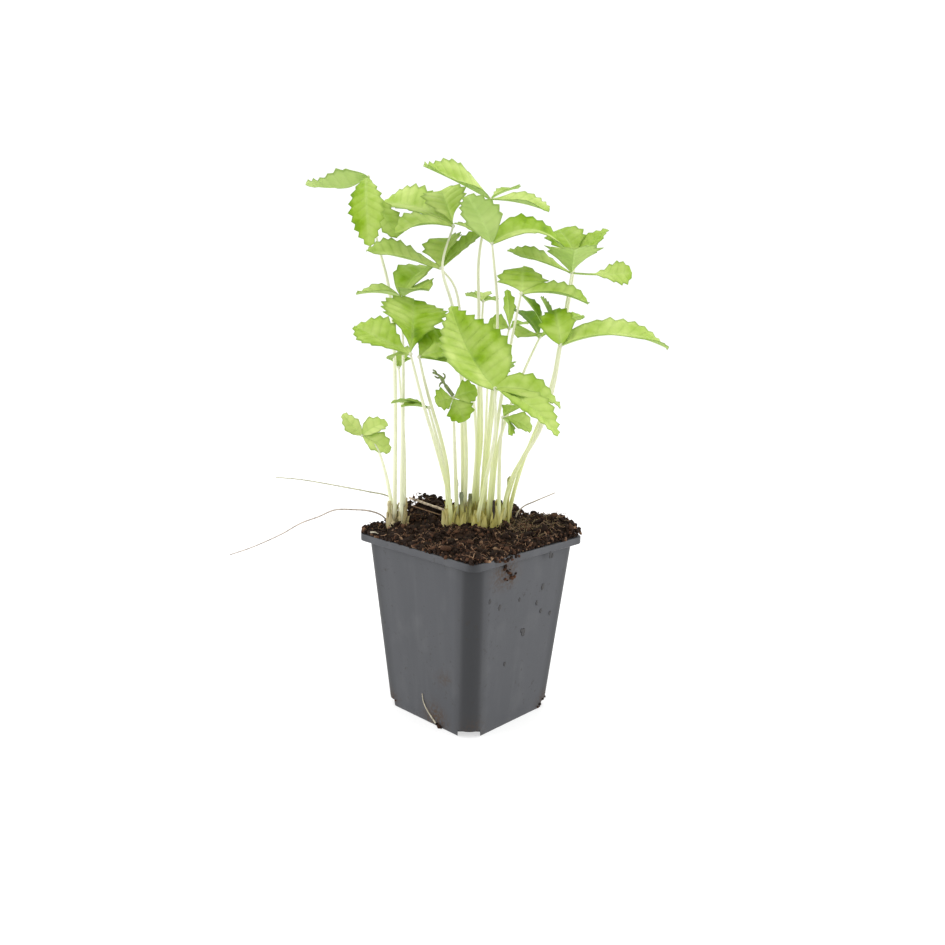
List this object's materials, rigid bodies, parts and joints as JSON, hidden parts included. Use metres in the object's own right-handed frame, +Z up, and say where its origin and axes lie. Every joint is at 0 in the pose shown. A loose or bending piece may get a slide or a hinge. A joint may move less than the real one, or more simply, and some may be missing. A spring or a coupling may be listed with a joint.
{
  "type": "potted strawberry plant",
  "caption": "Young strawberry plant with long upright stalks and saw-edged leaves of three leaflets, growing in a soil-filled square tapered nursery pot.",
  "frame": {"origin": "centre of the pot's underside, on the surface that it stands on", "axes": "+Z up; X and Y along the pot's sides; the picture looks from the -X -Y corner of the pot"},
  "size_m": [0.1609, 0.1947, 0.3006],
  "materials": {
    "pot": "satin, grey injection-moulded plastic with a fine orange-peel skin",
    "soil": "moist peat compost with wood chips and fibres",
    "leaf": "soft green blade, satin, with sunken veins",
    "old_stalk": "dry, pale brownish green",
    "dry_stick": "dark brown, matt",
    "root": "pale brown fibre, matt",
    "splinter": "weathered pale wood, matt"
  },
  "bodies": {
    "root": {"dry_stick": "dry_stick", "leaf_back": "leaf", "leaf_back_left": "leaf", "leaf_back_right": "leaf", "leaf_far_right": "leaf", "leaf_front": "leaf", "leaf_front_left": "leaf", "leaf_inner_left": "leaf", "leaf_left": "leaf", "leaf_low_left": "leaf", "leaf_low_right": "leaf", "leaf_middle": "leaf", "leaf_middle_left": "leaf", "leaf_middle_right": "leaf", "leaf_right": "leaf", "leaf_small_left": "leaf", "leaf_small_middle": "leaf", "leaf_small_right": "leaf", "leaf_top": "leaf", "leaf_top_left": "leaf", "leaf_upper": "leaf", "leaf_upper_left": "leaf", "leaf_upper_right": "leaf", "leaf_young": "leaf", "pot": "pot", "root_long": "root", "root_right": "root", "root_upper": "root", "soil": "soil", "splinter": "splinter", "stub_centre": "old_stalk", "stub_crown": "old_stalk", "stub_hooked": "old_stalk", "stub_left": "old_stalk", "stub_middle": "old_stalk"}
  },
  "joints": []
}
